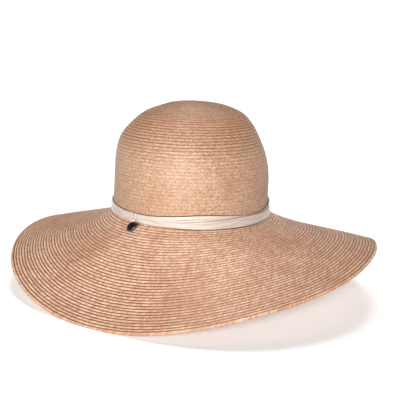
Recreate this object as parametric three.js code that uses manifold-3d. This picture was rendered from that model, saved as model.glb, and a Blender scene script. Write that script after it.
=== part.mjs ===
// A wide-brimmed floppy sun hat of sewn straw braid, resting on a flat surface.
// Millimetres, +Z up. The front is towards -Y, and a bearing runs from the front towards +X.
import * as THREE from "three";
import { mergeVertices } from "three/addons/utils/BufferGeometryUtils.js";
import Module from "manifold-3d";

const wasm = await Module();
wasm.setup();

// Driving dimensions
const headWidth = 164; // inside the crown's mouth, side to side
const headLength = 198; // inside the crown's mouth, front to back
const crownHeight = 116; // from the brim's root to the apex
const brimDepth = 124; // along the straw, from the crown's wall to the edge
const strawWall = 2; // lapped braid
const rootBend = 3.5; // length over which the wall turns into the brim
const rootReach = 17; // length over which the root's fall gives way to the middle's
const restDepth = 1.4; // how much of the rim's lowest stretches is flat on the surface
const seatGap = 0.3; // between one piece and the next

const ribbonHeight = 15; // the two strands together, at their widest in front
const ribbonDrop = 1; // how far the ribbon's foot hangs over the joint of crown and brim
const ribbonThickness = 0.9;
const ribbonSwell = 0.5; // how far a strand's middle stands out past its edges
const wrapWidth = 10; // around the crown
const wrapBearing = 335.5;

const charmLength = 12.5;
const charmWidth = 9.5;
const charmThickness = 3.2;
const charmBearing = 338.5;
const charmReach = 8.2; // from the crown's wall to the charm's middle, along the brim
const charmTurn = 58; // degrees that its ring end is turned from the crown towards +X
const charmTilt = 7; // degrees that its ring end is raised
const ringRadius = 1.9; // to the middle of the wire
const ringWire = 0.8;
const ringHole = 1.9;

const sidesAround = 84;
const ringsOfBrim = 13;
const ringCrowding = 1.8; // above 1, the brim's rings lie closer together near the crown
const ringsOfCrown = 13;

// Degrees that the brim falls below horizontal, at even bearings from the front towards +X:
// as it leaves the crown, over its middle, and at its edge
const brimFalls = [
  { bearing: 0, root: 24, middle: 54, edge: 35 },
  { bearing: 30, root: 16, middle: 29, edge: 23 },
  { bearing: 60, root: 16, middle: 20, edge: 12 },
  { bearing: 90, root: 26, middle: 3, edge: 11 },
  { bearing: 120, root: 37, middle: 6, edge: 14 },
  { bearing: 150, root: 46, middle: 54, edge: 29 },
  { bearing: 180, root: 50, middle: 49, edge: 31 },
  { bearing: 210, root: 51, middle: 41, edge: 24 },
  { bearing: 240, root: 49, middle: 10, edge: 15 },
  { bearing: 270, root: 45, middle: 11, edge: 17 },
  { bearing: 300, root: 40, middle: 28, edge: 25 },
  { bearing: 330, root: 34, middle: 51, edge: 33 },
];

// The dome from its mouth to its apex. Rise is a share of the crown's height, girth of its mouth,
// and lean, towards +X, of its width
const domeSections = [
  { rise: 0, girth: 1, lean: 0 },
  { rise: 0.17, girth: 0.985, lean: 0 },
  { rise: 0.34, girth: 0.98, lean: 0 },
  { rise: 0.51, girth: 0.955, lean: -0.01 },
  { rise: 0.67, girth: 0.885, lean: -0.02 },
  { rise: 0.8, girth: 0.765, lean: -0.01 },
  { rise: 0.9, girth: 0.615, lean: 0 },
  { rise: 0.965, girth: 0.4, lean: 0.005 },
  { rise: 0.99, girth: 0.23, lean: -0.01 },
  { rise: 1, girth: 0, lean: -0.02 },
];

// Where the ribbon's two strands lie above its foot, as shares of the ribbon's height.
// The lower strand starts at the foot. The upper one narrows in a twist at the front right,
// and is pulled up from the lower one on that side
const ribbonStrands = [
  { bearing: 0, lowerTop: 0.5, upperFoot: 0.5, upperTop: 0.81 },
  { bearing: 30, lowerTop: 0.54, upperFoot: 0.54, upperTop: 1.04 },
  { bearing: 60, lowerTop: 0.46, upperFoot: 0.48, upperTop: 0.6 },
  { bearing: 90, lowerTop: 0.5, upperFoot: 0.64, upperTop: 0.84 },
  { bearing: 120, lowerTop: 0.52, upperFoot: 0.82, upperTop: 1.34 },
  { bearing: 150, lowerTop: 0.52, upperFoot: 0.6, upperTop: 1.06 },
  { bearing: 180, lowerTop: 0.52, upperFoot: 0.52, upperTop: 0.94 },
  { bearing: 210, lowerTop: 0.5, upperFoot: 0.5, upperTop: 0.86 },
  { bearing: 240, lowerTop: 0.48, upperFoot: 0.48, upperTop: 0.8 },
  { bearing: 270, lowerTop: 0.46, upperFoot: 0.46, upperTop: 0.74 },
  { bearing: 300, lowerTop: 0.44, upperFoot: 0.44, upperTop: 0.72 },
  { bearing: 330, lowerTop: 0.46, upperFoot: 0.46, upperTop: 0.71 },
];

const materials = {
  straw: new THREE.MeshStandardMaterial({ color: 0xd2a582, roughness: 0.75, metalness: 0 }),
  ribbon: new THREE.MeshStandardMaterial({ color: 0xe1d2c8, roughness: 0.55, metalness: 0 }),
  gunmetal: new THREE.MeshStandardMaterial({ color: 0x3c3c40, roughness: 0.35, metalness: 1 }),
};

// A column of an evenly spaced table, smoothed into one closed curve by a cubic B-spline
function around(table, column, bearing) {
  const place = (((bearing / 360) % 1) + 1) * table.length;
  const row = Math.floor(place);
  const part = place - row;
  const weights = [
    (1 - part) ** 3,
    3 * part ** 3 - 6 * part ** 2 + 4,
    -3 * part ** 3 + 3 * part ** 2 + 3 * part + 1,
    part ** 3,
  ];
  let sum = 0;
  weights.forEach((weight, step) => {
    sum += (weight / 6) * table[(row + step - 1) % table.length][column];
  });
  return sum;
}

// The crown's plan is an ellipse: a point on it, and the way out of it
function planPoint(bearing, girth) {
  const angle = THREE.MathUtils.degToRad(bearing - 90);
  const halfWidth = headWidth / 2 + strawWall;
  const halfLength = headLength / 2 + strawWall;
  return new THREE.Vector3(halfWidth * girth * Math.cos(angle), halfLength * girth * Math.sin(angle), 0);
}

function planOutward(bearing) {
  const angle = THREE.MathUtils.degToRad(bearing - 90);
  const halfWidth = headWidth / 2 + strawWall;
  const halfLength = headLength / 2 + strawWall;
  return new THREE.Vector3(Math.cos(angle) / halfWidth, Math.sin(angle) / halfLength, 0).normalize();
}

// The brim's section at a bearing, followed along the straw by short steps: each stop has the
// distance out from the crown, the fall below its root, and the slope there
function brimSection(bearing, stops) {
  const root = around(brimFalls, "root", bearing);
  const middle = around(brimFalls, "middle", bearing);
  const edge = around(brimFalls, "edge", bearing);
  const slopeAt = (reach) => {
    const fall = middle + (root - middle) * Math.exp(-reach / rootReach);
    const settled = fall + (edge - middle) * (reach / brimDepth) ** 2;
    return THREE.MathUtils.degToRad(settled + (90 - settled) * Math.exp(-reach / rootBend));
  };
  const found = [];
  let out = 0;
  let fall = 0;
  let reach = 0;
  for (const stop of stops) {
    const steps = Math.max(1, Math.ceil(stop - reach));
    const length = (stop - reach) / steps;
    for (let step = 0; step < steps; step += 1) {
      const slope = slopeAt(reach + length / 2);
      out += length * Math.cos(slope);
      fall += length * Math.sin(slope);
      reach += length;
    }
    found.push({ out, fall, slope: slopeAt(stop) });
  }
  return found;
}

// A point over the brim's upper face, sunk below it along the section's normal
function brimPoint(bearing, stop, sunk) {
  const point = planPoint(bearing, 1).addScaledVector(planOutward(bearing), stop.out);
  point.addScaledVector(planOutward(bearing), -sunk * Math.sin(stop.slope));
  point.z = -seatGap - stop.fall - sunk * Math.cos(stop.slope);
  return point;
}

// The dome's outline as one smooth curve, carried past the apex so that it ends level
function domeCurve() {
  const points = domeSections.map((row) => new THREE.Vector3(row.girth, row.lean, row.rise));
  const before = domeSections[domeSections.length - 2];
  points.push(new THREE.Vector3(-before.girth, before.lean, before.rise));
  return new THREE.CatmullRomCurve3(points, false, "catmullrom", 0.5);
}

const dome = domeCurve();

function domeAt(climb) {
  return dome.getPoint((climb * (domeSections.length - 1)) / domeSections.length);
}

// Girth of the crown at a height, between the two nearest of many fine steps
function girthAt(height) {
  const rise = Math.max(0, height / crownHeight);
  const fineSteps = 200;
  let low = domeAt(0);
  for (let step = 1; step <= fineSteps; step += 1) {
    const high = domeAt(step / fineSteps);
    if (high.z >= rise) {
      const share = (rise - low.z) / (high.z - low.z);
      return low.x + share * (high.x - low.x);
    }
    low = high;
  }
  return 0;
}

const bearings = Array.from({ length: sidesAround }, (_, side) => (side * 360) / sidesAround);

// One closed mesh from rings of points that each run towards +X from the front. The rings
// meet end to end, or close on a pole at each end
function ringedGeometry(rings, poles) {
  const sides = rings[0].length;
  const positions = rings.flat().flatMap((point) => [point.x, point.y, point.z]);
  const index = [];
  const spans = poles ? rings.length - 1 : rings.length;
  for (let ring = 0; ring < spans; ring += 1) {
    const next = (ring + 1) % rings.length;
    for (let side = 0; side < sides; side += 1) {
      const beside = (side + 1) % sides;
      const low = ring * sides;
      const high = next * sides;
      index.push(low + side, low + beside, high + beside, low + side, high + beside, high + side);
    }
  }
  if (poles) {
    const first = positions.length / 3;
    positions.push(poles[0].x, poles[0].y, poles[0].z, poles[1].x, poles[1].y, poles[1].z);
    const lastRing = (rings.length - 1) * sides;
    for (let side = 0; side < sides; side += 1) {
      const beside = (side + 1) % sides;
      index.push(first, beside, side, first + 1, lastRing + side, lastRing + beside);
    }
  }
  const geometry = new THREE.BufferGeometry();
  geometry.setAttribute("position", new THREE.Float32BufferAttribute(positions, 3));
  geometry.setIndex(index);
  return geometry;
}

// Between a mesh and the solid that cuts and joins work on
function toSolid(geometry) {
  const bare = geometry.clone();
  bare.deleteAttribute("normal");
  bare.deleteAttribute("uv");
  const merged = mergeVertices(bare, 1e-4);
  return new wasm.Manifold(
    new wasm.Mesh({
      numProp: 3,
      vertProperties: new Float32Array(merged.attributes.position.array),
      triVerts: new Uint32Array(merged.index.array),
    }),
  );
}

function toGeometry(solid) {
  const mesh = solid.getMesh();
  const geometry = new THREE.BufferGeometry();
  geometry.setAttribute("position", new THREE.Float32BufferAttribute(mesh.vertProperties, 3));
  geometry.setIndex(Array.from(mesh.triVerts));
  return geometry;
}

function namedMesh(name, geometry, material) {
  geometry.computeVertexNormals();
  const mesh = new THREE.Mesh(geometry, material);
  mesh.name = name;
  return mesh;
}

// The crown: the dome, and a smaller dome inside it by the straw's thickness
function crownGeometry() {
  const ringAt = (climb, inset) => {
    const section = domeAt(climb);
    return bearings.map((bearing) => {
      const point = planPoint(bearing, section.x);
      point.addScaledVector(planOutward(bearing), -inset * section.x);
      point.x += headWidth * section.y;
      point.z = (crownHeight - inset) * section.z;
      return point;
    });
  };
  const climbs = Array.from({ length: ringsOfCrown }, (_, ring) => ring / ringsOfCrown);
  const inner = climbs.map((climb) => ringAt(climb, strawWall)).reverse();
  const outer = climbs.map((climb) => ringAt(climb, 0));
  const poles = [ringAt(1, strawWall)[0], ringAt(1, 0)[0]];
  return ringedGeometry([...inner, ...outer], poles);
}

// The brim: its upper face in from the edge, and its underside back out to it
function brimGeometry() {
  const shares = Array.from({ length: ringsOfBrim + 1 }, (_, ring) => ring / ringsOfBrim);
  const stops = shares.map((share) => brimDepth * share ** ringCrowding);
  const sections = bearings.map((bearing) => brimSection(bearing, stops));
  const ringAt = (ring, sunk) =>
    bearings.map((bearing, side) => brimPoint(bearing, sections[side][ring], sunk));
  const upper = stops.map((_, ring) => ringAt(ring, 0)).reverse();
  const under = stops.map((_, ring) => ringAt(ring, strawWall));
  return ringedGeometry([...upper, ...under], null);
}

// A strand of ribbon around the crown between a foot and a top height at each bearing, or a
// short length of it between two bearings
function strandGeometry({ stand, footAt, topAt, from, to, sides }) {
  const whole = to - from === 360;
  const count = whole ? sides : sides + 1;
  const stations = Array.from({ length: count }, (_, side) => from + ((to - from) * side) / sides);
  const corner = (bearing, height, out) => {
    const point = planPoint(bearing, girthAt(height));
    point.addScaledVector(planOutward(bearing), out);
    point.z = height;
    return point;
  };
  const outer = stand + ribbonThickness;
  const sections = stations.map((bearing) => {
    const foot = footAt(bearing);
    const top = topAt(bearing);
    const middle = (foot + top) / 2;
    const swell = Math.min(ribbonSwell, (top - foot) / 4);
    return [
      corner(bearing, foot, stand),
      corner(bearing, foot, outer),
      corner(bearing, middle, outer + swell),
      corner(bearing, top, outer),
      corner(bearing, top, stand),
      corner(bearing, middle, stand),
    ];
  });
  if (whole) {
    const rings = sections[0].map((_, place) => sections.map((section) => section[place]));
    return ringedGeometry(rings, null);
  }
  const middleOf = (section) =>
    section.reduce((sum, point) => sum.add(point), new THREE.Vector3()).divideScalar(section.length);
  const turned = sections.map((section) => [...section].reverse());
  return ringedGeometry(turned, [middleOf(turned[0]), middleOf(turned[turned.length - 1])]);
}

const strandHeight = (column, bearing) =>
  ribbonHeight * around(ribbonStrands, column, bearing) - ribbonDrop;
const lowerFoot = () => -ribbonDrop;
const lowerTop = (bearing) => strandHeight("lowerTop", bearing);
const upperFoot = (bearing) => strandHeight("upperFoot", bearing) + seatGap;
const upperTop = (bearing) => strandHeight("upperTop", bearing);

// Half of the wrap's width, in degrees of bearing
function wrapSpan() {
  const step = 0.5;
  const reach = planPoint(wrapBearing - step, 1).distanceTo(planPoint(wrapBearing + step, 1));
  return (wrapWidth / reach) * step;
}

// The charm: a smooth oval drop with an eye near one end, its length along X and its face up
function charmGeometry() {
  const oval = new THREE.SphereGeometry(0.5, 20, 12).scale(charmLength, charmWidth, charmThickness);
  const eye = new THREE.CylinderGeometry(ringHole / 2, ringHole / 2, charmThickness * 2, 12);
  eye.rotateX(Math.PI / 2).translate(charmLength / 2 - ringRadius, 0, 0);
  return toGeometry(toSolid(oval).subtract(toSolid(eye)));
}

function ringGeometry() {
  const ring = new THREE.TorusGeometry(ringRadius, ringWire / 2, 6, 16);
  return ring.rotateX(Math.PI / 2).translate(charmLength / 2, 0, 0);
}

// The charm and its ring lie on the brim, with the ring end towards the ribbon
function charmPlace() {
  const [stop] = brimSection(charmBearing, [charmReach]);
  const outward = planOutward(charmBearing);
  const along = new THREE.Vector3(-outward.y, outward.x, 0);
  const inward = outward.clone().multiplyScalar(-Math.cos(stop.slope));
  inward.z = Math.sin(stop.slope);
  const up = new THREE.Vector3().crossVectors(along, inward).normalize();
  if (up.z < 0) up.negate();
  const turn = THREE.MathUtils.degToRad(charmTurn);
  const tilt = THREE.MathUtils.degToRad(charmTilt);
  const level = inward.clone().multiplyScalar(Math.cos(turn)).addScaledVector(along, Math.sin(turn));
  const lengthwise = level.clone().multiplyScalar(Math.cos(tilt)).addScaledVector(up, Math.sin(tilt));
  const faceUp = up.clone().multiplyScalar(Math.cos(tilt)).addScaledVector(level, -Math.sin(tilt));
  const sideways = new THREE.Vector3().crossVectors(faceUp, lengthwise);
  const rest = charmThickness / 2 + Math.sin(tilt) * (charmLength / 4);
  const middle = brimPoint(charmBearing, stop, -(rest + seatGap));
  return new THREE.Matrix4().makeBasis(lengthwise, sideways, faceUp).setPosition(middle);
}

const crown = namedMesh("crown", crownGeometry(), materials.straw);
const brimWhole = brimGeometry();
brimWhole.computeBoundingBox();

// The rim's lowest stretches are flat where the hat stands on them
const restHeight = brimWhole.boundingBox.min.z + restDepth;
const floorSlab = new THREE.BoxGeometry(brimDepth * 8, brimDepth * 8, brimDepth);
floorSlab.translate(0, 0, restHeight - brimDepth / 2);
const brimCut = toGeometry(toSolid(brimWhole).subtract(toSolid(floorSlab)));
const brim = namedMesh("brim", brimCut, materials.straw);

const allRound = { stand: seatGap, from: 0, to: 360, sides: sidesAround };
const lowerStrand = strandGeometry({ ...allRound, footAt: lowerFoot, topAt: lowerTop });
const upperStrand = strandGeometry({ ...allRound, footAt: upperFoot, topAt: upperTop });
const hatband = namedMesh("hatband", lowerStrand, materials.ribbon);
const bandFold = namedMesh("band_fold", upperStrand, materials.ribbon);
const bandWrap = namedMesh(
  "band_wrap",
  strandGeometry({
    stand: seatGap * 2 + ribbonThickness + ribbonSwell,
    footAt: lowerFoot,
    topAt: () => upperTop(wrapBearing),
    from: wrapBearing - wrapSpan(),
    to: wrapBearing + wrapSpan(),
    sides: 4,
  }),
  materials.ribbon,
);
const charm = namedMesh("charm", charmGeometry(), materials.gunmetal);
const charmRing = namedMesh("charm_ring", ringGeometry(), materials.gunmetal);

const drop = new THREE.Group();
drop.applyMatrix4(charmPlace());
drop.add(charm, charmRing);

// The origin is under the middle of the hat, on the surface that it stands on
const hat = new THREE.Group();
hat.add(crown, brim, hatband, bandFold, bandWrap, drop);
hat.updateMatrixWorld(true);
const extent = new THREE.Box3().setFromObject(hat, true);
const middle = extent.getCenter(new THREE.Vector3());
hat.position.set(-middle.x, -middle.y, -extent.min.z);

export default hat;
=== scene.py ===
# A wide-brimmed floppy sun hat of sewn straw braid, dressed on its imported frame.
# Metres and degrees. The front is towards -Y, and a bearing runs from the front towards +X.
import math

import bpy
import numpy as np
from mathutils import Matrix, Vector


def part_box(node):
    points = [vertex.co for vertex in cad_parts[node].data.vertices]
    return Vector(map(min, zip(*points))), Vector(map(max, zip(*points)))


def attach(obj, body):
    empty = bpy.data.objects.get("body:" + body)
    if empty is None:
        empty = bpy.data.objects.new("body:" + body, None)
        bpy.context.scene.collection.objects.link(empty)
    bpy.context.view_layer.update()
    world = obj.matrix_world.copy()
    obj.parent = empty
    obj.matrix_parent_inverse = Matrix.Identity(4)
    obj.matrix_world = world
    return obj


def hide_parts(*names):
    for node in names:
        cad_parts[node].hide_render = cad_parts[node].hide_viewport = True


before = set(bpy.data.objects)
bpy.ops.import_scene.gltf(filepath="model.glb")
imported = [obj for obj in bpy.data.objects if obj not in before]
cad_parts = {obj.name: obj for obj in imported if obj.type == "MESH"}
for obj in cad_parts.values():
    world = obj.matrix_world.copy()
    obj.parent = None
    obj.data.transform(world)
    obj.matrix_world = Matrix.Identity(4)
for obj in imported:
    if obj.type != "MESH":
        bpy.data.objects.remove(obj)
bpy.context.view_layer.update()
crownLow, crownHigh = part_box("crown")

# The hat's form, in columns of even bearings from the front towards +X. Falls are the degrees
# that the brim drops below level: as it leaves the crown, over its middle, and at its edge
hat = {
    "centre": ((crownLow.x + crownHigh.x) / 2, (crownLow.y + crownHigh.y) / 2, crownLow.z),
    "halfWidth": (crownHigh.x - crownLow.x) / 2,
    "halfLength": (crownHigh.y - crownLow.y) / 2,
    "crownHeight": crownHigh.z - crownLow.z,
    "meanRadius": 0.0925,  # of the crown's mouth
    "brimDepth": 0.124,  # along the straw
    "pastEdge": 0.004,  # how far past the edge a section of the brim is followed
    "wall": 0.002,
    "seatGap": 0.0003,  # between pieces that touch
    "rootBend": 0.0035,  # over this length the brim turns out of the crown's wall
    "rootReach": 0.017,  # and over this one the fall at its root settles to that of its middle
    "rootFall": (24, 16, 16, 26, 37, 46, 50, 51, 49, 45, 40, 34),
    "middleFall": (54, 29, 20, 3, 6, 54, 49, 41, 10, 11, 28, 51),
    "edgeFall": (35, 23, 12, 11, 14, 29, 31, 24, 15, 17, 25, 33),
    "fineStep": 0.0005,
    "sunkShare": 0.6,  # of a row's ridge, from its groove up, lies below the plain wall's face
    "chevron": 0.5,  # how far a strand runs back from a row's middle to its edge, in strands
    "weld": 0.000001,
    "smoothUnder": 55,
}

# The dome from its mouth to its apex and a little past it: rise as a share of its height,
# girth of its mouth, and lean, towards +X, of its inner width
dome = {
    "rise": (0, 0.17, 0.34, 0.51, 0.67, 0.8, 0.9, 0.965, 0.99, 1, 0.99),
    "girth": (1, 0.985, 0.98, 0.955, 0.885, 0.765, 0.615, 0.4, 0.23, 0, -0.23),
    "lean": (0, 0, 0, -0.01, -0.02, -0.01, 0, 0.005, -0.01, -0.02, -0.01),
    "innerWidth": 0.164,
    "samples": 1800,
}


def aroundHat(column, bearing):
    # A closed cubic B-spline over a column of even bearings
    place = np.mod(np.asarray(bearing, float) / 360, 1) * len(column)
    start = np.floor(place).astype(int)
    part = place - start
    weights = (
        (1 - part) ** 3,
        3 * part**3 - 6 * part**2 + 4,
        -3 * part**3 + 3 * part**2 + 3 * part + 1,
        part**3,
    )
    values = np.array(column, float)
    return sum(w / 6 * values[(start + step - 1) % len(column)] for step, w in enumerate(weights))


def onceRound(columns):
    # Bearings from the seam, which is behind, back to it
    return 180 + 360 * np.arange(columns + 1) / columns


def planAt(bearing):
    angle = np.radians(np.asarray(bearing, float) - 90)
    return np.stack([hat["halfWidth"] * np.cos(angle), hat["halfLength"] * np.sin(angle)], -1)


def outwardAt(bearing):
    angle = np.radians(np.asarray(bearing, float) - 90)
    way = np.stack([np.cos(angle) / hat["halfWidth"], np.sin(angle) / hat["halfLength"]], -1)
    return way / np.linalg.norm(way, axis=-1, keepdims=True)


def softRidge(places, middle, width):
    return np.exp(-(((places - middle) / width) ** 2))


def wander(waves, turned, grooves=0):
    # How far grooves sway, by waves: how many to a turn, how large, and how far on each
    # groove's wave starts after the last one's
    return sum(size * np.sin(count * turned + step * grooves) for count, size, step in waves)


def brimSections(bearings):
    # The brim's section at each bearing, followed along the straw by fine steps
    reach = np.arange(0, hat["brimDepth"] + hat["pastEdge"], hat["fineStep"])
    root, middle, edge = (
        aroundHat(hat[name], bearings)[:, None] for name in ("rootFall", "middleFall", "edgeFall")
    )
    settled = middle + (root - middle) * np.exp(-reach / hat["rootReach"])
    settled = settled + (edge - middle) * (reach / hat["brimDepth"]) ** 2
    slope = np.radians(settled + (90 - settled) * np.exp(-reach / hat["rootBend"]))
    between = (slope[:, 1:] + slope[:, :-1]) / 2
    nothing = np.zeros((len(slope), 1))
    out = np.hstack([nothing, np.cumsum(np.cos(between) * hat["fineStep"], axis=1)])
    fall = np.hstack([nothing, np.cumsum(np.sin(between) * hat["fineStep"], axis=1)])
    return reach, slope, out, fall


def brimPoints(bearings, reaches, sunk):
    # Points of the brim, a row for each bearing, sunk below its upper face
    known, *sections = brimSections(bearings)
    slope, out, fall = (
        np.array([np.interp(reach, known, values) for reach, values in zip(reaches, section)])
        for section in sections
    )
    out = out - sunk * np.sin(slope)
    flat = planAt(bearings)[:, None, :] + outwardAt(bearings)[:, None, :] * out[..., None]
    height = -hat["seatGap"] - fall - sunk * np.cos(slope)
    return np.concatenate([flat, height[..., None]], -1) + hat["centre"]


def domeTable():
    # The dome's outline from mouth to apex by fine steps: length along it, girth, lean, rise,
    # and the direction out of it
    rows = np.array([dome["girth"], dome["lean"], dome["rise"]]).T
    padded = np.vstack([2 * rows[0] - rows[1], rows, 2 * rows[-1] - rows[-2]])
    place = np.linspace(0, len(rows) - 2, dome["samples"])
    start = np.minimum(place.astype(int), len(rows) - 3)
    part = (place - start)[:, None]
    before, low, high, after = (padded[start + step] for step in range(4))
    tangentLow = (high - before) / 2
    tangentHigh = (after - low) / 2
    curve = (2 * low - 2 * high + tangentLow + tangentHigh) * part**3
    curve = curve + (3 * high - 3 * low - 2 * tangentLow - tangentHigh) * part**2
    curve = curve + tangentLow * part + low
    radius = curve[:, 0] * (hat["halfWidth"] + hat["halfLength"]) / 2
    height = curve[:, 2] * hat["crownHeight"]
    length = np.concatenate([[0], np.cumsum(np.hypot(np.diff(radius), np.diff(height)))])
    outward = np.gradient(height, length)
    upward = -np.gradient(radius, length)
    size = np.hypot(outward, upward)
    return length, curve[:, 0], curve[:, 1], curve[:, 2], outward / size, upward / size


domeLength, domeGirth, domeLean, domeRise, domeOut, domeUp = domeTable()


def crownPoints(bearings, climbs, sunk):
    # Points of the crown, a row for each bearing, sunk below its outer face. Climb is the
    # length up the dome from its mouth
    girth, lean, rise, outward, upward = (
        np.interp(climbs, domeLength, known)
        for known in (domeGirth, domeLean, domeRise, domeOut, domeUp)
    )
    flat = planAt(bearings)[:, None, :] * girth[..., None]
    flat = flat - outwardAt(bearings)[:, None, :] * (sunk * outward)[..., None]
    flat[..., 0] += dome["innerWidth"] * lean
    height = hat["crownHeight"] * rise - sunk * upward
    return np.concatenate([flat, height[..., None]], -1) + hat["centre"]


def selectOnly(*pieces):
    # The last one becomes the active object
    bpy.ops.object.select_all(action="DESELECT")
    for piece in pieces:
        piece.select_set(True)
        bpy.context.view_layer.objects.active = piece


def shapedGrid(name, points):
    # A flat grid whose vertices are then moved onto the piece's surface. Points come as one
    # row for each column of the grid
    columns, stations = points.shape[0] - 1, points.shape[1] - 1
    selectOnly()
    bpy.ops.mesh.primitive_grid_add(x_subdivisions=columns, y_subdivisions=stations, size=1)
    piece = bpy.context.object
    piece.name = name
    piece.data.name = name
    piece.data.vertices.foreach_set("co", points.transpose(1, 0, 2).ravel().astype(np.float32))
    piece.data.update()
    return piece


def surfaceMap(piece, name, columns, lengths, places, lean=0):
    # UV: along, in each step's own length, leaned back by so much towards a row's edges, and
    # across, in places
    corners = np.empty(len(piece.data.loops), np.int32)
    piece.data.loops.foreach_get("vertex_index", corners)
    corners = corners.reshape(-1, 4)
    column = corners % (columns + 1)
    station = corners // (columns + 1)
    step = station.min(axis=1)
    across = np.asarray(places)[station]
    along = column / columns * np.asarray(lengths)[step][:, None]
    along = along + lean * np.abs(2 * np.mod(across, 1) - 1)
    layer = piece.data.uv_layers[0]
    layer.name = name
    layer.data.foreach_set("uv", np.stack([along, across], -1).ravel().astype(np.float32))


def sewSeams(piece):
    # The grid's opposite sides meet, so they become one, and all faces turn outwards
    selectOnly(piece)
    bpy.ops.object.mode_set(mode="EDIT")
    bpy.ops.mesh.select_all(action="SELECT")
    bpy.ops.mesh.remove_doubles(threshold=hat["weld"])
    bpy.ops.mesh.normals_make_consistent(inside=False)
    bpy.ops.object.mode_set(mode="OBJECT")
    bpy.ops.object.shade_smooth_by_angle(angle=math.radians(hat["smoothUnder"]))
    return piece


# Brim

brim = {
    "rows": 39,  # of braid from the crown to the edge, 3.2 mm each
    "splitRow": 20,  # where its two shells meet
    "columns": 480,
    "strand": 0.0023,  # along a row, drawn as coarse as the plait needs to show
    "girthGain": 0.85,  # how much a row's radius grows with its reach, since the brim falls
    "ridge": 0.00052,  # from a groove to the top of a row
    "upper": ((0, 0), (0.1, 0.72), (0.32, 1), (0.66, 0.96), (0.9, 0.62)),
    "underRidge": 0.0004,
    "under": ((0, 0), (0.16, 0.8), (0.6, 1)),
    "edgeSwell": 0.0004,  # the last row is folded over and stands thicker
    "edgeNose": 0.13,  # how far the fold bulges out, in rows
    "edgeUnder": 0.4,  # how far its lower corner is drawn in, as a share of the ridges below
    "edgeClear": 0.18,  # of the last row, at its end, which no groove's shade reaches
    "sway": 0.00014,  # how far a groove wanders to each side
    "swayWaves": ((5, 1, 2.4), (13, 0.6, 4.08), (29, 0.4, 5.52)),
    "calmRows": 2,  # next to both edges, where it wanders less
    "overFloor": 0.00005,
}


def brimStops(fromRow, toRow):
    # Once round a shell of the brim: each stop's place in rows and its depth below the upper face
    stops = []
    for row in range(fromRow, toRow):
        swell = brim["edgeSwell"] if row == brim["rows"] - 1 else 0
        for share, height in brim["upper"]:
            lift = brim["ridge"] * (height - hat["sunkShare"]) + swell * math.sin(math.pi * share)
            stops.append((row + share, -lift))
    stops.append((toRow, brim["ridge"] * hat["sunkShare"]))
    if toRow == brim["rows"]:
        stops.append((toRow + brim["edgeNose"], hat["wall"] / 2))
    stops.append((toRow, hat["wall"] - brim["underRidge"] * brim["edgeUnder"]))
    for row in reversed(range(fromRow, toRow)):
        for share, height in reversed(brim["under"]):
            depth = hat["wall"] + brim["underRidge"] * (height - hat["sunkShare"])
            stops.append((row + share, depth))
    stops.append(stops[0])
    return np.array(stops).T


def makeBrimShell(name, fromRow, toRow):
    places, sunk = brimStops(fromRow, toRow)
    columns = brim["columns"]
    pitch = hat["brimDepth"] / brim["rows"]
    bearings = onceRound(columns)
    sway = wander(brim["swayWaves"], np.radians(bearings)[:, None], np.round(places)[None, :])
    calm = np.clip(np.minimum(places, brim["rows"] - places) / brim["calmRows"], 0, 1)
    reaches = places * pitch + sway * brim["sway"] * calm
    points = brimPoints(bearings, reaches, np.broadcast_to(sunk, reaches.shape))
    points[..., 2] = np.maximum(points[..., 2], brim["overFloor"])
    piece = shapedGrid(name, points)
    middles = np.minimum((places[:-1] + places[1:]) / 2, brim["rows"] - 0.5)
    radii = hat["meanRadius"] + (np.floor(middles) + 0.5) * pitch * brim["girthGain"]
    strands = np.round(2 * np.pi * radii / brim["strand"])
    shaded = np.minimum(places, brim["rows"] - brim["edgeClear"])
    surfaceMap(piece, "braid", columns, strands, shaded, hat["chevron"])
    return sewSeams(piece)


# Crown

crown = {
    "rowPitch": 0.0034,
    "columns": 320,
    "strand": 0.0013,  # drawn as coarse as the plait needs to show
    "fewestStrands": 2,  # in the smallest turn, at the apex
    "ridgeAt": (0, 0.3, 0.45, 0.62, 0.8, 1),  # shares of the way up the dome
    "ridge": (0.0001, 0.0001, 0.00015, 0.0003, 0.0003, 0.0002),
    "innerShare": 0.7,  # how high the ridges stand inside, as a share of those outside
    "endRows": 0.5,  # over which the ridges fade at both ends of the braid
    "outer": ((0, 0), (0.12, 0.75), (0.45, 1), (0.86, 0.7)),
    "inner": ((0, 0), (0.4, 1)),
    "sway": 0.00012,
    "swayWaves": ((5.37, 1, 0), (11.73, 0.6, 0), (23.19, 0.4, 0)),
    "calmRows": 4,
}


def crownStops(rows):
    # Up the outer face and down the inner one: place in rows, height of the ridge there, and
    # depth in the wall as a share of it
    stops = []
    for row in range(rows + 1):
        stops.extend((row + share, height, 0) for share, height in crown["outer"])
    stops.append((rows + 1, 0, 0.5))
    for row in reversed(range(rows + 1)):
        stops.extend((row + share, height, 1) for share, height in reversed(crown["inner"]))
    stops.append(stops[0])
    return np.array(stops).T


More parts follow.
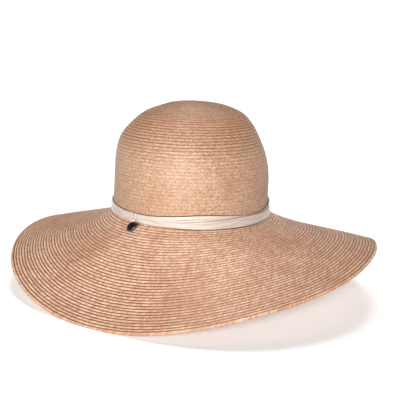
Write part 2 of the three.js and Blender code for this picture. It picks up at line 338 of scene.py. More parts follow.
def makeCrown():
    # The braid winds up the dome in a spiral: in each turn it climbs by one row
    full = domeLength[-1]
    rows = round(full / crown["rowPitch"])
    pitch = full / rows
    places, heights, depths = crownStops(rows)
    columns = crown["columns"]
    share = np.arange(columns + 1) / columns
    wound = places[None, :] - 1 + share[:, None]
    turned = 2 * np.pi * (np.round(places)[None, :] + share[:, None])
    fromEnds = np.minimum(wound, rows - wound)
    calm = np.clip(fromEnds / crown["calmRows"], 0, 1)
    climbs = wound * pitch + wander(crown["swayWaves"], turned) * crown["sway"] * calm
    climbs = np.clip(climbs, 0, full)
    ridge = np.interp(climbs / full, crown["ridgeAt"], crown["ridge"])
    lift = ridge * (heights - hat["sunkShare"]) * np.clip(fromEnds / crown["endRows"], 0, 1)
    raised = np.select([depths == 0, depths == 1], [1, -crown["innerShare"]], 0)
    sunk = depths * hat["wall"] - lift * raised
    piece = shapedGrid("crownBraid", crownPoints(180 + 360 * share, climbs, sunk))
    middles = (np.floor((places[:-1] + places[1:]) / 2) - 0.5) * pitch
    lengths = 2 * np.pi * hat["meanRadius"] * np.interp(middles, domeLength, domeGirth)
    strands = np.maximum(np.round(lengths / crown["strand"]), crown["fewestStrands"])
    surfaceMap(piece, "braid", columns, strands, places, hat["chevron"])
    return sewSeams(piece)


# Ribbon: two strands of one folded satin ribbon, and a short length wrapped over its join

# Columns are millimetres above the crown's mouth. In front the foot lies over the brim's root
ribbon = {
    "thickness": 0.0009,
    "edgeShare": 0.35,  # of its thickness that is left at its edges
    "edgePower": 14,  # the higher, the nearer to the edge a strand begins to thin
    "bandPower": 24,  # and the same where both strands lie as one band
    "thinnest": 0.0002,
    "swell": 0.0005,
    "overBrim": 0.0005,  # it stands off the brim's root by so much more
    "overBrimBelow": 0.001,  # and by all of it from this far below the mouth
    "strandMillimetres": 7.5,  # flat width of a strand
    "lengthMillimetres": 600,
    "columns": 480,
    "stops": (0.015, 0.05, 17),  # first from an edge, first of the even ones, and their count
    "foot": (-2, -3.6, -4, -2.8, -1.2, -1, -1, -1, -1, -1, -1, -1.2),
    "lowerTop": (2.9, 4.8, 6.8, 4.2, 5, 5.5, 6, 6, 6, 5.6, 5.2, 3.6),
    "upperFoot": (2.9, 5.1, 7.7, 7.2, 8.5, 6, 6, 6, 6, 5.6, 5.2, 3.6),
    "upperTop": (7.8, 13.6, 5.9, 9, 15.5, 13, 12.5, 12, 11, 10.5, 10.4, 6.9),
    "joined": (0.9, 0.05, 0, 0, 0, 0.3, 1, 1, 1, 1, 1, 1),  # how far they lie as one flat band
    "creaseLead": 60,  # degrees ahead of a crease's start that count as before it
    "creaseFade": 0.2,  # share of a crease over which each of its ends fades
}

# Lines along a strand from one bearing and share of its height to another. Depth is out of the
# ribbon, so grooves are below zero
creases = (
    {"strand": "upper", "bearings": (30, 66), "shares": (0.12, 0.3), "width": 0.2, "depth": 0.0006},
    {"strand": "upper", "bearings": (2, 50), "shares": (0.1, 0.42), "width": 0.12, "depth": -0.0007},
    {"strand": "upper", "bearings": (62, 118), "shares": (0.55, 0.35), "width": 0.14, "depth": -0.0006},
    {"strand": "lower", "bearings": (36, 66), "shares": (0.95, 0.97), "width": 0.1, "depth": -0.0008},
    {"strand": "lower", "bearings": (8, 56), "shares": (0.9, 0.6), "width": 0.1, "depth": -0.0007},
    {"strand": "lower", "bearings": (48, 84), "shares": (0.55, 0.85), "width": 0.08, "depth": -0.0007},
    {"strand": "lower", "bearings": (-12, 24), "shares": (0.55, 0.8), "width": 0.09, "depth": -0.0005},
    {"strand": "lower", "bearings": (60, 110), "shares": (0.35, 0.5), "width": 0.12, "depth": -0.0005},
    {"strand": "lower", "bearings": (68, 98), "shares": (0.62, 0.84), "width": 0.1, "depth": -0.0016},
    {"strand": "lower", "bearings": (-78, -28), "shares": (0.4, 0.62), "width": 0.12, "depth": -0.0003},
    {"strand": "upper", "bearings": (-70, -24), "shares": (0.6, 0.3), "width": 0.14, "depth": -0.00015},
    {"strand": "upper", "bearings": (150, 230), "shares": (0.3, 0.6), "width": 0.12, "depth": -0.0002},
    {"strand": "lower", "bearings": (160, 260), "shares": (0.5, 0.35), "width": 0.12, "depth": -0.0002},
)


def creaseDepth(strand, bearings, shares):
    depth = np.zeros(np.broadcast_shapes(bearings.shape, shares.shape))
    lead = ribbon["creaseLead"]
    for crease in creases:
        if crease["strand"] != strand:
            continue
        start, end = crease["bearings"]
        along = (np.mod(bearings - start + lead, 360) - lead) / (end - start)
        line = np.interp(along, (0, 1), crease["shares"])
        ends = np.clip(np.minimum(along, 1 - along) / ribbon["creaseFade"], 0, 1)
        ends = ends * ends * (3 - 2 * ends)
        depth = depth + crease["depth"] * ends * softRidge(shares, line, crease["width"])
    return depth


def heightAt(column, bearings):
    return aroundHat(ribbon[column], bearings)[:, None] / 1000


def ribbonPoints(bearings, heights, stand):
    # Points over the crown's wall at heights above its mouth, and below it over the brim
    girth = np.interp(np.maximum(heights, 0) / hat["crownHeight"], domeRise, domeGirth)
    _, _, out, fall = brimSections(bearings)
    below = np.maximum(-heights, 0)
    over = np.array([np.interp(depth, falls, outs) for depth, falls, outs in zip(below, fall, out)])
    stand = stand + over + ribbon["overBrim"] * np.clip(below / ribbon["overBrimBelow"], 0, 1)
    flat = planAt(bearings)[:, None, :] * girth[..., None]
    flat = flat + outwardAt(bearings)[:, None, :] * stand[..., None]
    return np.concatenate([flat, heights[..., None]], -1) + hat["centre"]


def sectionStops(edge, start, count):
    # Once round a ribbon's section: shares of its height up the outer face and down the inner
    # one, and 1 where a stop lies on the outer face
    outer = np.concatenate([[0, edge], np.linspace(start, 1 - start, count), [1 - edge, 1]])
    shares = np.concatenate([outer, [1, 0.5, 0, 0]])[None, :]
    outside = np.concatenate([np.ones(len(outer)), [0, 0, 0, 1]])[None, :]
    return shares, outside


def makeStrand(strand, footColumn, topColumn):
    columns = ribbon["columns"]
    bearings = onceRound(columns)
    bandFoot, bandTop = heightAt("foot", bearings), heightAt("upperTop", bearings)
    foot, top = heightAt(footColumn, bearings), heightAt(topColumn, bearings)
    joined = np.clip(aroundHat(ribbon["joined"], bearings), 0, 1)[:, None]
    shares, outside = sectionStops(*ribbon["stops"])
    heights = foot + (top - foot) * shares
    ofBand = np.clip((heights - bandFoot) / (bandTop - bandFoot), 0, 1)
    ownEdge = 1 - np.abs(2 * shares - 1) ** ribbon["edgePower"]
    bandEdge = 1 - np.abs(2 * ofBand - 1) ** ribbon["bandPower"]
    edge = joined * bandEdge + (1 - joined) * ownEdge
    bulge = joined * 4 * ofBand * (1 - ofBand) + (1 - joined) * 4 * shares * (1 - shares)
    thickness = ribbon["thickness"] * (ribbon["edgeShare"] + (1 - ribbon["edgeShare"]) * edge)
    crease = creaseDepth(strand, bearings[:, None], shares)
    outer = thickness + ribbon["swell"] * bulge + crease * ownEdge
    stand = hat["seatGap"] + np.maximum(outer, ribbon["thinnest"]) * outside
    points = ribbonPoints(bearings, heights, stand)
    piece = shapedGrid(strand + "Strand", points)
    lengths = np.full(points.shape[1] - 1, ribbon["lengthMillimetres"])
    across = ribbon["strandMillimetres"] * (shares[0] + (strand == "upper"))
    surfaceMap(piece, "cloth", columns, lengths, across)
    return sewSeams(piece)


def makeRibbon():
    lower = makeStrand("lower", "foot", "lowerTop")
    upper = makeStrand("upper", "upperFoot", "upperTop")
    selectOnly(upper, lower)
    bpy.ops.object.join()
    lower.name = "ribbonBand"
    return lower


# The tongue's and the seams' places are a middle and a width in half widths of the wrap
wrap = {
    "bearing": 335.5,
    "width": 0.010,
    "columns": 36,
    "stops": (0.02, 0.07, 15),
    "stand": 0.0017,
    "thickness": 0.0008,
    "edgeShare": 0.25,
    "edgePower": 12,
    "sidePower": 16,
    "overTop": 0.0003,  # how far it reaches above the band
    "tongue": 0.0014,  # how far its foot hangs lower where it holds the ring
    "tongueAt": (0.2, 0.45),
    "seam": 0.00025,  # depth of the groove along each side
    "seamAt": (0.72, 0.07),
}


def makeWrap():
    columns = wrap["columns"]
    degree = np.linalg.norm(planAt(wrap["bearing"] + 0.5) - planAt(wrap["bearing"] - 0.5))
    half = wrap["width"] / 2 / degree
    across = np.linspace(-1, 1, columns + 1)
    bearings = wrap["bearing"] + half * across
    side = across[:, None]
    foot = heightAt("foot", bearings) - wrap["tongue"] * softRidge(side, *wrap["tongueAt"])
    top = heightAt("upperTop", bearings) + wrap["overTop"]
    shares, outside = sectionStops(*wrap["stops"])
    heights = foot + (top - foot) * shares
    roundEdge = 1 - np.abs(2 * shares - 1) ** wrap["edgePower"]
    roundEdge = roundEdge * (1 - np.abs(side) ** wrap["sidePower"])
    outer = wrap["thickness"] * (wrap["edgeShare"] + (1 - wrap["edgeShare"]) * roundEdge)
    outer = outer - wrap["seam"] * softRidge(np.abs(side), *wrap["seamAt"])
    stand = wrap["stand"] + outer * outside
    points = ribbonPoints(bearings, heights, np.broadcast_to(stand, heights.shape))
    piece = shapedGrid("ribbonWrap", points)
    rise = (heights.mean(axis=0) - heights.mean(axis=0).min()) * 1000
    surfaceMap(piece, "cloth", columns, np.full(points.shape[1] - 1, wrap["width"] * 1000), rise)
    bpy.ops.object.mode_set(mode="EDIT")
    bpy.ops.mesh.select_all(action="SELECT")
    bpy.ops.mesh.remove_doubles(threshold=hat["weld"])
    bpy.ops.mesh.select_all(action="DESELECT")
    bpy.ops.mesh.select_non_manifold()
    bpy.ops.mesh.fill_holes(sides=0)
    bpy.ops.object.mode_set(mode="OBJECT")
    return sewSeams(piece)


# Charm: an oval drop on a jump ring, lying on the brim below the wrap

charm = {
    "length": 0.0122,
    "width": 0.0112,
    "thickness": 0.0036,
    "bearing": 338,
    "reach": 0.0084,  # from the crown, along the brim
    "turn": 56,  # from inwards to the end that the ring holds
    "tilt": 7,  # how far that end is lifted
    "ringRadius": 0.0019,
    "ringWire": 0.0008,
    "eye": 0.0019,
    "smoothUnder": 40,
}


def charmPlace():
    # Its own length, side and face directions, and its middle, as it lies on the brim
    bearing = np.array([charm["bearing"]])
    known, slope, _, _ = brimSections(bearing)
    fall = float(np.interp(charm["reach"], known, slope[0]))
    outward = outwardAt(charm["bearing"])
    along = Vector((-outward[1], outward[0], 0))
    inward = Vector((-outward[0] * math.cos(fall), -outward[1] * math.cos(fall), math.sin(fall)))
    up = along.cross(inward).normalized()
    if up.z < 0:
        up.negate()
    turn, tilt = math.radians(charm["turn"]), math.radians(charm["tilt"])
    level = inward * math.cos(turn) + along * math.sin(turn)
    lengthwise = level * math.cos(tilt) + up * math.sin(tilt)
    faceUp = up * math.cos(tilt) - level * math.sin(tilt)
    sideways = faceUp.cross(lengthwise)
    lift = charm["thickness"] / 2 + math.sin(tilt) * charm["length"] / 4 + hat["seatGap"]
    middle = brimPoints(bearing, np.array([[charm["reach"]]]), np.array([[-lift]]))[0, 0]
    basis = Matrix((lengthwise, sideways, faceUp)).transposed().to_4x4()
    return Matrix.Translation(Vector(middle)) @ basis


def finishAt(piece, place):
    # The place goes into the mesh, and the object stays at the origin
    selectOnly(piece)
    bpy.ops.object.transform_apply(location=True, rotation=True, scale=True)
    piece.data.transform(place)
    piece.data.update()


def makeCharm(place):
    selectOnly()
    bpy.ops.mesh.primitive_uv_sphere_add(segments=64, ring_count=32, radius=0.5)
    piece = bpy.context.object
    piece.name = "charmDrop"
    piece.scale = (charm["length"], charm["width"], charm["thickness"])
    bpy.ops.object.transform_apply(scale=True)
    bpy.ops.mesh.primitive_cylinder_add(
        vertices=24,
        radius=charm["eye"] / 2,
        depth=charm["thickness"] * 2,
        location=(charm["length"] / 2 - charm["ringRadius"], 0, 0),
    )
    drill = bpy.context.object
    eyeCut = piece.modifiers.new("eye", "BOOLEAN")
    eyeCut.operation = "DIFFERENCE"
    eyeCut.object = drill
    bpy.context.view_layer.objects.active = piece
    bpy.ops.object.modifier_apply(modifier="eye")
    bpy.data.objects.remove(drill)
    finishAt(piece, place)
    bpy.ops.object.shade_smooth_by_angle(angle=math.radians(charm["smoothUnder"]))
    return piece


def makeRing(place):
    selectOnly()
    bpy.ops.mesh.primitive_torus_add(
        major_segments=48,
        minor_segments=14,
        major_radius=charm["ringRadius"],
        minor_radius=charm["ringWire"] / 2,
        location=(charm["length"] / 2, 0, 0),
        rotation=(math.pi / 2, 0, 0),
    )
    piece = bpy.context.object
    piece.name = "charmRing"
    finishAt(piece, place)
    bpy.ops.object.shade_smooth()
    return piece


# Materials

def hexColour(code):
    # sRGB hex to the linear colour that shaders use
    parts = [int(code[place:place + 2], 16) / 255 for place in (1, 3, 5)]
    linear = [p / 12.92 if p <= 0.04045 else ((p + 0.055) / 1.055) ** 2.4 for p in parts]
    return (*linear, 1)


def addNode(tree, kind, settings=None, inputs=None, stops=()):
    # A node with its settings, its inputs as values or as the nodes or sockets that feed them,
    # and a ramp's stops
    node = tree.nodes.new(kind)
    for name, value in (settings or {}).items():
        setattr(node, name, value)
    for place, value in (inputs or {}).items():
        if isinstance(value, bpy.types.Node):
            value = value.outputs[0]
        if isinstance(value, bpy.types.NodeSocket):
            tree.links.new(value, node.inputs[place])
        else:
            node.inputs[place].default_value = value
    if stops:
        elements = node.color_ramp.elements
        elements[0].position, elements[1].position = stops[0][0], stops[-1][0]
        for position, tone in stops[1:-1]:
            elements.new(position)
        for element, (position, tone) in zip(elements, stops):
            element.color = hexColour(tone) if isinstance(tone, str) else (tone, tone, tone, 1)
    return node


def newMaterial(name):
    material = bpy.data.materials.new(name)
    material.use_nodes = True
    material.node_tree.nodes.clear()
    return material, material.node_tree


# Natural wheat straw, plaited into a flat braid and sewn in lapped rows: each strand's back is
# pale and softly glossy, with painted shade in the gaps at its sides; no two strands have quite one
# tone; and the laps between rows lie in painted brown shade
strawFinish = {
    # a row's back from groove to groove: it raises the bump, and its low ends paint brown shade into
    # the grooves
    "rowBackAndGrooveShade": ((0, 0), (0.14, 0.55), (0.32, 0.95), (0.5, 1), (0.74, 0.9), (0.9, 0.5), (1, 0)),
    # a strand's back from side to side: its low ends paint shade into the gaps between strands
    "strandBackAndGapShade": ((0, 0.1), (0.5, 1), (1, 0.1)),
    "strandHeight": 0.0002,
    "flecksPerStrand": 2.1,
    "fleckRange": (0.3, 0.7),  # of the noise that is spread from dark to pale
    "fleckShare": 0.45,  # how far flecks outweigh a strand's own chance tone
    "patchTone": "#a06f52",
    "patchMillimetres": 60,
    "patchRange": (0.45, 0.7),
    "patchShare": 0.35,  # how far the brownest patch takes on that tone
    "roughness": (0.46, 0.62),
    "shader": {"IOR": 1.5, "Specular IOR Level": 0.55},
}

# The crown's braid has three lanes of short strands to a row, and the brim's one of long strands.
# Groove shade shares say how strongly the painted shade in the grooves between rows shows against the
# plait, between the two heights
brimLook = {
    # the darkest tones stand for painted shade, deep in the grooves and gaps; the rest run up to the
    # palest straw
    "tones": ((0, "#4f2e18"), (0.2, "#875a40"), (0.4, "#b58c74"), (0.7, "#d5b9a3"), (1, "#efe3d6")),
    "evenness": 0.4,  # how far the strands' backs outweigh chance
    "faintest": 0.25,  # how pale the faintest strand is
    "slant": 0.8,  # how far a strand leans over, in strands
    "heights": (0, 0.1),
    "grooveShadeShares": ((0, 1), (0.35, 0.9), (0.6, 0.7), (0.85, 0.5), (1, 0.5)),
    "lanes": 1,
}
crownLook = {
    # the same straw as the brim's, painted darker: these tones carry painted shade on the crown
    "tones": ((0, "#3e220c"), (0.2, "#7a5139"), (0.4, "#a07b63"), (0.7, "#bda48c"), (1, "#dfd5ca")),
    "evenness": 0.35,
    "faintest": 0.15,
    "slant": 0.4,
    "heights": (crownLow.z, crownHigh.z),
    "grooveShadeShares": ((0, 0.15), (0.5, 0.2), (0.68, 0.65), (0.86, 0.65), (0.94, 0.25), (1, 0.15)),
    "lanes": 3,
}


def sewnStraw(name, look):
    finish = strawFinish
    material, tree = newMaterial(name)
    place = addNode(tree, "ShaderNodeTexCoord").outputs["Object"]
    braid = addNode(tree, "ShaderNodeUVMap", {"uv_map": "braid"})
    counts = addNode(tree, "ShaderNodeSeparateXYZ", None, {0: braid})
    upRow = addNode(tree, "ShaderNodeMath", {"operation": "FRACT"}, {0: counts.outputs[1]})
    rowBackAndGrooveShade = addNode(tree, "ShaderNodeValToRGB", None, {0: upRow}, finish["rowBackAndGrooveShade"])
    # Each lane's strands start at a place of their own and lean over along it
    toLanes = {0: counts.outputs[1], 1: look["lanes"]}
    lane = addNode(tree, "ShaderNodeMath", {"operation": "MULTIPLY"}, toLanes)
    laneNumber = addNode(tree, "ShaderNodeMath", {"operation": "FLOOR"}, {0: lane})
    start = addNode(tree, "ShaderNodeTexWhiteNoise", {"noise_dimensions": "1D"}, {"W": laneNumber})
    upLane = addNode(tree, "ShaderNodeMath", {"operation": "FRACT"}, {0: lane})
    leaning = {0: upLane, 1: look["slant"], 2: start}
    shift = addNode(tree, "ShaderNodeMath", {"operation": "MULTIPLY_ADD"}, leaning)
    along = addNode(tree, "ShaderNodeMath", {"operation": "ADD"}, {0: counts.outputs[0], 1: shift})
    acrossStrand = addNode(tree, "ShaderNodeMath", {"operation": "FRACT"}, {0: along})
    strandBackAndGapShade = addNode(tree, "ShaderNodeValToRGB", None, {0: acrossStrand}, finish["strandBackAndGapShade"])
    lanes = addNode(tree, "ShaderNodeCombineXYZ", None, {0: along, 1: lane})
    strand = addNode(tree, "ShaderNodeVectorMath", {"operation": "FLOOR"}, {0: lanes})
    chance = addNode(tree, "ShaderNodeTexWhiteNoise", {"noise_dimensions": "2D"}, {0: strand})
    grain = {"Vector": lanes, "Scale": finish["flecksPerStrand"], "Detail": 2.0}
    flecks = addNode(tree, "ShaderNodeTexNoise", {"noise_dimensions": "2D"}, grain)
    low, high = finish["fleckRange"]
    sharper = {"Value": flecks, "From Min": low, "From Max": high}
    fibres = addNode(tree, "ShaderNodeMapRange", None, sharper)
    flecked = {0: finish["fleckShare"], 2: chance, 3: fibres}
    mixed = addNode(tree, "ShaderNodeMix", {"data_type": "FLOAT"}, flecked)
    sides = {0: look["evenness"], 2: mixed, 3: strandBackAndGapShade}
    weave = addNode(tree, "ShaderNodeMix", {"data_type": "FLOAT"}, sides)
    lifted = {"Value": weave, "To Min": look["faintest"]}
    plait = addNode(tree, "ShaderNodeMapRange", None, lifted)
    upright = addNode(tree, "ShaderNodeSeparateXYZ", None, {0: place})
    low, high = look["heights"]
    reach = {"Value": upright.outputs[2], "From Min": low, "From Max": high}
    level = addNode(tree, "ShaderNodeMapRange", None, reach)
    # how strongly the painted shade in the grooves shows at each height
    grooveShadeShare = addNode(tree, "ShaderNodeValToRGB", None, {0: level}, look["grooveShadeShares"])
    # the relief raises the bump, and in the colour it paints shade into the grooves and gaps
    relief = addNode(tree, "ShaderNodeMath", {"operation": "MULTIPLY"}, {0: plait, 1: rowBackAndGrooveShade})
    grooveShaded = {0: grooveShadeShare, 2: plait, 3: relief}
    blend = addNode(tree, "ShaderNodeMix", {"data_type": "FLOAT"}, grooveShaded)
    tone = addNode(tree, "ShaderNodeValToRGB", None, {0: blend}, look["tones"])
    spots = {"Vector": place, "Scale": 1000 / finish["patchMillimetres"], "Detail": 3.0}
    patches = addNode(tree, "ShaderNodeTexNoise", None, spots)
    low, high = finish["patchRange"]
    spread = {"Value": patches, "From Min": low, "From Max": high, "To Max": finish["patchShare"]}
    patchShare = addNode(tree, "ShaderNodeMapRange", None, spread)
    browned = {0: patchShare, 6: tone, 7: hexColour(finish["patchTone"])}
    colour = addNode(tree, "ShaderNodeMix", {"data_type": "RGBA"}, browned).outputs[2]
    raised = {"Height": relief, "Distance": finish["strandHeight"]}
    bump = addNode(tree, "ShaderNodeBump", None, raised)
    smooth, rough = finish["roughness"]
    glossy = {"Value": chance, "To Min": smooth, "To Max": rough}
    gloss = addNode(tree, "ShaderNodeMapRange", None, glossy)
    lit = {**finish["shader"], "Base Color": colour, "Roughness": gloss, "Normal": bump}
    shader = addNode(tree, "ShaderNodeBsdfPrincipled", None, lit)
    addNode(tree, "ShaderNodeOutputMaterial", None, {"Surface": shader})
    return material


# Polyester satin, woven with its shine along the ribbon: smooth, with a soft broad gloss, and,
# on the band, a thin dark line of painted shade along both sides
satinFinish = {
    "cloth": "#c8bab0",
    "shade": "#a99a92",
    "shadeShare": 0.8,  # how far the darkest streak takes on the shade
    # painted shade: a thin dark line where the band's top edge meets the crown and its foot meets the
    # brim
    "paintedEdgeShade": "#5e483b",
    "paintedEdgeShadeMillimetres": 0.7,
    "ribMillimetres": 0.8,  # real ribs are 0.3 mm, drawn as coarse as they need to show
    "streakMillimetres": (30, 1.6),
    "streakRange": (0.4, 0.75),
    "streakShare": 0.75,  # how far streaks outweigh ribs in the relief
    "weaveHeight": 0.00015,
    "shader": {"Roughness": 0.45, "IOR": 1.5, "Sheen Weight": 0.2, "Sheen Roughness": 0.4},
}

# The wrap's stitches: three seams down it and three dark thread ends, in millimetres
stitches = {
    "seams": (1.4, 4.6, 8.6),
    "seamTone": "#a08f87",
    "seamWidth": 0.5,
    "dotsAcross": 7.0,
    "dotsUp": (4.4, 7.0, 9.6),
    "dotRadius": 0.6,
    "dotTone": "#3f332d",
}


def satinRibbon(name, stitched):
    finish = satinFinish
    material, tree = newMaterial(name)
    cloth = addNode(tree, "ShaderNodeUVMap", {"uv_map": "cloth"})
    parts = addNode(tree, "ShaderNodeSeparateXYZ", None, {0: cloth})
    waveLength = math.pi / 10  # of the wave texture at a scale of 1
    ribbing = {"Vector": cloth, "Scale": waveLength / finish["ribMillimetres"]}
    ribs = addNode(tree, "ShaderNodeTexWave", {"bands_direction": "X"}, ribbing)
    long, wide = finish["streakMillimetres"]
    stretched = {"Vector": cloth, "Scale": (1 / long, 1 / wide, 1)}
    drawn = addNode(tree, "ShaderNodeMapping", None, stretched)
    threads = {"Vector": drawn, "Scale": 1.0, "Detail": 3.0}
    streaks = addNode(tree, "ShaderNodeTexNoise", {"noise_dimensions": "2D"}, threads)
    low, high = finish["streakRange"]
    spread = {"Value": streaks, "From Min": low, "From Max": high, "To Max": finish["shadeShare"]}
    shaded = addNode(tree, "ShaderNodeMapRange", None, spread)
    tones = {0: shaded, 6: hexColour(finish["cloth"]), 7: hexColour(finish["shade"])}
    colour = addNode(tree, "ShaderNodeMix", {"data_type": "RGBA"}, tones).outputs[2]
    if stitched:
        colour = sewnOver(tree, cloth, parts, colour)
    else:
        # The two strands lie side by side in one map, and along its two far edges lies a thin dark line
        # of painted shade, where the band meets the crown above and the brim below
        width = ribbon["strandMillimetres"]
        within = {0: parts.outputs[1], 1: width, 2: width - finish["paintedEdgeShadeMillimetres"]}
        inside = addNode(tree, "ShaderNodeMath", {"operation": "COMPARE"}, within)
        edgeShaded = {0: inside, 6: hexColour(finish["paintedEdgeShade"]), 7: colour}
        colour = addNode(tree, "ShaderNodeMix", {"data_type": "RGBA"}, edgeShaded).outputs[2]
    surface = {0: finish["streakShare"], 2: ribs, 3: streaks}
    woven = addNode(tree, "ShaderNodeMix", {"data_type": "FLOAT"}, surface)
    raised = {"Height": woven, "Distance": finish["weaveHeight"]}
    bump = addNode(tree, "ShaderNodeBump", None, raised)
    lit = {**finish["shader"], "Base Color": colour, "Normal": bump}
    shader = addNode(tree, "ShaderNodeBsdfPrincipled", None, lit)
    addNode(tree, "ShaderNodeOutputMaterial", None, {"Surface": shader})
    return material


def sewnOver(tree, cloth, parts, colour):
    for side in stitches["seams"]:
        line = {0: parts.outputs[0], 1: side, 2: stitches["seamWidth"] / 2}
        near = addNode(tree, "ShaderNodeMath", {"operation": "COMPARE"}, line)
        sewn = {0: near, 6: colour, 7: hexColour(stitches["seamTone"])}
        colour = addNode(tree, "ShaderNodeMix", {"data_type": "RGBA"}, sewn).outputs[2]
    for up in stitches["dotsUp"]:
        spot = {0: cloth, 1: (stitches["dotsAcross"], up, 0)}
        away = addNode(tree, "ShaderNodeVectorMath", {"operation": "DISTANCE"}, spot).outputs["Value"]
        within = {0: away, 1: stitches["dotRadius"]}
        near = addNode(tree, "ShaderNodeMath", {"operation": "LESS_THAN"}, within)
        dotted = {0: near, 6: colour, 7: hexColour(stitches["dotTone"])}
        colour = addNode(tree, "ShaderNodeMix", {"data_type": "RGBA"}, dotted).outputs[2]
    return colour


# Zinc alloy plated gunmetal and tumbled soft: dark grey, with a broad highlight and faint wear
gunmetalFinish = {
    "plate": "#7c8087",
    "wear": "#54463c",
    "grainMillimetres": 0.7,  # the real grain is finer, drawn as coarse as it needs to show
    "grainHeight": 0.00005,
    "grainStrength": 0.3,
    "roughness": (0.42, 0.6),
    "shader": {"Metallic": 1.0},
}


def tumbledGunmetal():
    finish = gunmetalFinish
    material, tree = newMaterial("tumbledGunmetal")
    place = addNode(tree, "ShaderNodeTexCoord").outputs["Object"]
    specks = {"Vector": place, "Scale": 1000 / finish["grainMillimetres"], "Detail": 4.0}
    grain = addNode(tree, "ShaderNodeTexNoise", None, specks)
    tones = {0: grain, 6: hexColour(finish["plate"]), 7: hexColour(finish["wear"])}
    colour = addNode(tree, "ShaderNodeMix", {"data_type": "RGBA"}, tones).outputs[2]
    smooth, rough = finish["roughness"]
    glossy = {"Value": grain, "To Min": smooth, "To Max": rough}
    gloss = addNode(tree, "ShaderNodeMapRange", None, glossy)
    height, strength = finish["grainHeight"], finish["grainStrength"]
    raised = {"Height": grain, "Strength": strength, "Distance": height}
    bump = addNode(tree, "ShaderNodeBump", None, raised)
    lit = {**finish["shader"], "Base Color": colour, "Roughness": gloss, "Normal": bump}
    shader = addNode(tree, "ShaderNodeBsdfPrincipled", None, lit)
    addNode(tree, "ShaderNodeOutputMaterial", None, {"Surface": shader})
    return material


def dress(piece, material, slot, *nodes):
    piece.data.materials.clear()
    piece.data.materials.append(material)
    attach(piece, "root")
    if nodes:
        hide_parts(*nodes)


# Studio

# Each lamp's strength lights a white surface that faces it to that share of full white
studio = {
    "floorRadius": 7,
    "wallHeight": 1.6,
    "paper": "#f6f6f6",
    "paperShader": {"Roughness": 0.9, "Specular IOR Level": 0.1, "Emission Strength": 0.2},
    "surround": "#ffffff",
    "ambient": 0.03,
    "lampDistance": 2,
    "lamps": (
        {"name": "keySoftbox", "azimuth": 10, "elevation": 17, "spread": 16, "strength": 1.13},
        {"name": "topSoftbox", "azimuth": -165, "elevation": 68, "spread": 24, "strength": 0.27},
    ),
}

# The camera is set by the crown's mouth: where its middle lies in the 400 x 400 picture
view = {
    "azimuth": 15,
    "elevation": 11.385,
    "roll": 2.485,
    "distance": 0.92307,
    "focalPixels": 836.85,
    "middlePixel": (191.06, 206.7),
    "picture": 400,
    "sensor": 36,
}


def wayTo(azimuth, elevation):
    turn, rise = math.radians(azimuth), math.radians(elevation)
    flat = math.cos(rise)
    return Vector((math.sin(turn) * flat, -math.cos(turn) * flat, math.sin(rise)))


def makeBackdrop():
    # A wide floor of white paper whose edge turns up into a low wall all round
    selectOnly()
    bpy.ops.mesh.primitive_circle_add(vertices=96, radius=studio["floorRadius"], fill_type="NGON")
    floor = bpy.context.object
    floor.name = "paperFloor"
    bpy.ops.object.mode_set(mode="EDIT")
    bpy.ops.mesh.select_all(action="SELECT")
    bpy.ops.mesh.region_to_loop()
    rise = (0, 0, studio["wallHeight"])
    bpy.ops.mesh.extrude_edges_move(TRANSFORM_OT_translate={"value": rise})
    bpy.ops.object.mode_set(mode="OBJECT")
    material, tree = newMaterial("whitePaper")
    tone = hexColour(studio["paper"])
    lit = {**studio["paperShader"], "Base Color": tone, "Emission Color": tone}
    shader = addNode(tree, "ShaderNodeBsdfPrincipled", None, lit)
    addNode(tree, "ShaderNodeOutputMaterial", None, {"Surface": shader})
    floor.data.materials.append(material)


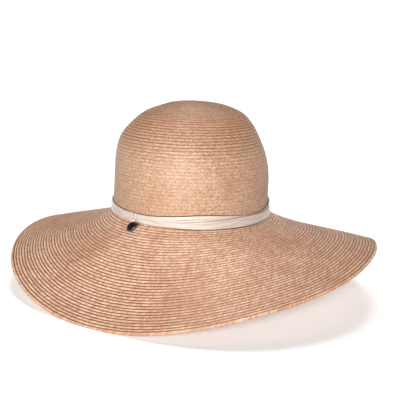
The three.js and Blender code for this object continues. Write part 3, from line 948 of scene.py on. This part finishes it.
def makeLight():
    world = bpy.data.worlds.new("softSurround")
    world.use_nodes = True
    background = world.node_tree.nodes["Background"]
    background.inputs["Color"].default_value = hexColour(studio["surround"])
    background.inputs["Strength"].default_value = studio["ambient"]
    bpy.context.scene.world = world
    for look in studio["lamps"]:
        away = wayTo(look["azimuth"], look["elevation"])
        place = Vector(hat["centre"]) + away * studio["lampDistance"]
        bpy.ops.object.light_add(type="SUN", location=place)
        lamp = bpy.context.object
        lamp.name = look["name"]
        lamp.rotation_euler = away.to_track_quat("Z", "Y").to_euler()
        lamp.data.angle = math.radians(look["spread"])
        lamp.data.energy = look["strength"] * math.pi


def makeCamera():
    back = wayTo(view["azimuth"], view["elevation"])
    azimuth, roll = math.radians(view["azimuth"]), math.radians(view["roll"])
    right = Vector((math.cos(azimuth), math.sin(azimuth), 0))
    up = back.cross(right)
    across = right * math.cos(roll) + up * math.sin(roll)
    upright = up * math.cos(roll) - right * math.sin(roll)
    bpy.ops.object.camera_add(location=Vector(hat["centre"]) + back * view["distance"])
    camera = bpy.context.object
    turned = Matrix((across, upright, back)).transposed()
    camera.rotation_euler = turned.to_euler()
    camera.data.sensor_width = view["sensor"]
    camera.data.lens = view["focalPixels"] * view["sensor"] / view["picture"]
    half = view["picture"] / 2
    camera.data.shift_x = (half - view["middlePixel"][0]) / view["picture"]
    camera.data.shift_y = (view["middlePixel"][1] - half) / view["picture"]
    bpy.context.scene.camera = camera


makeCamera()
makeBackdrop()
makeLight()
bpy.context.scene.view_settings.view_transform = "Standard"
bpy.context.scene.view_settings.look = "High Contrast"
print("camera, floor and lights are set")

brimStraw = sewnStraw("sewnBrimStraw", brimLook)
dress(makeBrimShell("brimInnerRows", 0, brim["splitRow"]), brimStraw, "straw", "brim")
dress(makeBrimShell("brimOuterRows", brim["splitRow"], brim["rows"]), brimStraw, "straw", "brim")
print("the brim is sewn")

dress(makeCrown(), sewnStraw("sewnCrownStraw", crownLook), "straw", "crown")
print("the crown is sewn")

band = makeRibbon()
dress(band, satinRibbon("satinRibbon", False), "ribbon", "hatband", "band_fold")
wrapped = makeWrap()
dress(wrapped, satinRibbon("stitchedSatin", True), "ribbon", "band_wrap")
print("the ribbon is tied")

gunmetal = tumbledGunmetal()
charmLies = charmPlace()
dress(makeCharm(charmLies), gunmetal, "gunmetal", "charm")
dress(makeRing(charmLies), gunmetal, "gunmetal", "charm_ring")
print("the charm is hung")
